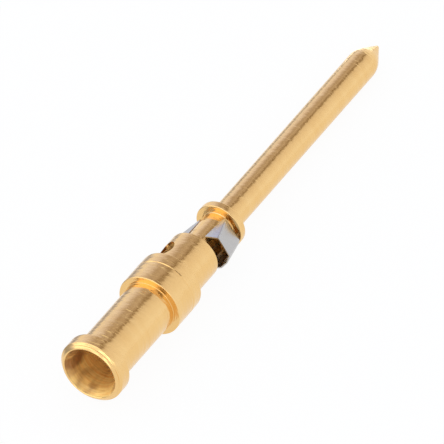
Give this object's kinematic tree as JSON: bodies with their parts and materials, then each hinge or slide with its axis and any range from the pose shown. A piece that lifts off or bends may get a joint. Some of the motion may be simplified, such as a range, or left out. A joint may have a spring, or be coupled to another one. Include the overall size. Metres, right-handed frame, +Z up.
{
  "type": "crimp pin contact",
  "caption": "Turned, gold plated crimp pin contact with a wire bore, an inspection hole, a collar and a steel spring clip that holds it in a connector insert.",
  "frame": {"origin": "on the surface that the part lies on, under the middle of its length", "axes": "+Z up, +Y along the part from the wire mouth to the pin's point, nose down by 2.8 degrees as it lies on the collar and the end of the pin"},
  "size_m": [0.0036, 0.0286, 0.0039],
  "materials": {
    "gold_plating": "turned and plated",
    "spring_steel": "satin"
  },
  "bodies": {
    "contact": {"contact_body": "gold_plating"},
    "clip": {"retention_clip": "spring_steel"}
  },
  "joints": [
    {"name": "clip_turn", "type": "hinge", "parent": "contact", "child": "clip", "pos_m": [0, -0.00255, 0.00155], "axis": [0, 0.9988, -0.0486], "continuous": true}
  ]
}
